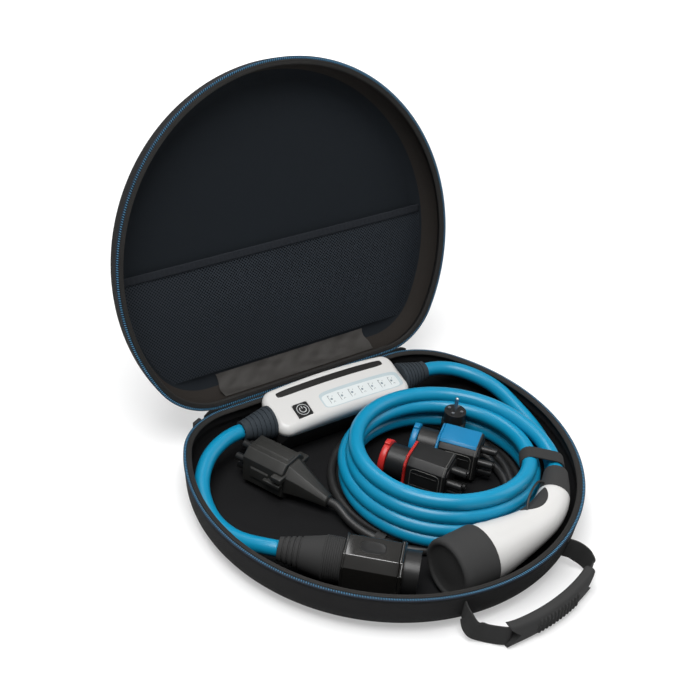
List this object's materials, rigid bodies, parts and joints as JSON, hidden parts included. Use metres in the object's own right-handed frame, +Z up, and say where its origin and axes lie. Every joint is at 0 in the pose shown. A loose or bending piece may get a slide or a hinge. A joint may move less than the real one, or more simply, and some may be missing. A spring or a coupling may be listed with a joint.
{
  "type": "portable electric car charger kit",
  "caption": "Round soft case with a hinged zip lid, holding a mains charging box, a coiled blue cable with a capped car connector, and plug adapters.",
  "frame": {"origin": "centre of the case's big circle, on the floor under the base", "axes": "+Z up, +Y towards the lid's hinge, +X to the right seen from the handle's side"},
  "size_m": [0.3996, 0.4976, 0.3723],
  "materials": {
    "case_fabric": "woven charcoal cloth over foam",
    "tape_fabric": "ribbed woven tape",
    "zip_blue": "nylon zip coil, blue",
    "net_fabric": "fine knitted net",
    "webbing": "woven webbing",
    "slider_metal": "black enamel",
    "black_rubber": "matt soft rubber",
    "white_plastic": "white, satin gloss",
    "black_plastic": "black, fine grain",
    "smoked_plastic": "smoked black, glossy",
    "navy_rubber": "dark navy rubber, ringed",
    "panel_grey": "pale grey film",
    "lamp_grey": "small dark lens",
    "board_green": "solder mask",
    "relay_black": "moulded black",
    "metal": "nickel plated",
    "cable_blue": "blue cable sheath, satin",
    "cord_black": "black cord sheath",
    "red_plastic": "red",
    "blue_plastic": "blue"
  },
  "bodies": {
    "case": {"base_shell": "case_fabric", "base_zip_tape": "tape_fabric", "base_zip_teeth": "zip_blue", "zip_slider": "slider_metal", "hinge_band": "case_fabric", "handle_straps": "webbing", "handle_grip": "black_rubber", "box_lower_cover": "black_plastic", "box_upper_cover": "white_plastic", "box_seal": "navy_rubber", "box_board": "board_green", "box_relays": "relay_black", "box_panel": "panel_grey", "box_lamps": "lamp_grey", "box_inlay": "black_plastic", "box_screws": "metal", "box_boot_in": "navy_rubber", "box_boot_out": "navy_rubber", "input_cable": "cable_blue", "output_cable": "cable_blue", "coil_lower": "cable_blue", "coil_upper": "cable_blue", "connector_cable": "cable_blue", "coil_strap": "webbing", "coupling_boot": "navy_rubber", "coupling_grip": "black_plastic", "coupling_housing": "smoked_plastic", "coupling_face": "black_plastic", "coupling_contacts": "metal", "connector_handle": "white_plastic", "connector_inset": "black_rubber", "connector_boot": "black_rubber", "connector_nose": "black_plastic", "connector_contacts": "metal", "connector_cap": "black_rubber", "cap_tether": "black_rubber", "red_body": "black_plastic", "red_collar": "red_plastic", "red_gasket": "red_plastic", "red_sleeves": "black_plastic", "blue_body": "black_plastic", "blue_collar": "blue_plastic", "blue_gasket": "blue_plastic", "blue_sleeves": "black_plastic", "plug_body": "black_plastic", "plug_cone": "black_plastic", "plug_sleeves": "black_plastic", "plug_cord": "cord_black", "cord_coil": "cord_black", "round_plug_cord": "cord_black", "cord_tie": "webbing", "round_plug": "black_rubber", "round_plug_pins": "metal"},
    "lid": {"lid_shell": "case_fabric", "lid_zip_tape": "tape_fabric", "lid_zip_teeth": "zip_blue", "pocket_net": "net_fabric", "pocket_hem": "tape_fabric", "hinge_flap": "tape_fabric"},
    "button": {"box_button": "black_plastic"}
  },
  "joints": [
    {"name": "lid_hinge", "type": "hinge", "parent": "case", "child": "lid", "pos_m": [0, 0.14, 0.046], "axis": [1, 0, 0], "range_deg": [0, 106]},
    {"name": "button_press", "type": "slide", "parent": "case", "child": "button", "axis": [0.0048, 0.2756, -0.9613], "range_m": [0, 0.001], "stiffness_N_per_m": 800, "springref_m": -0.001}
  ]
}
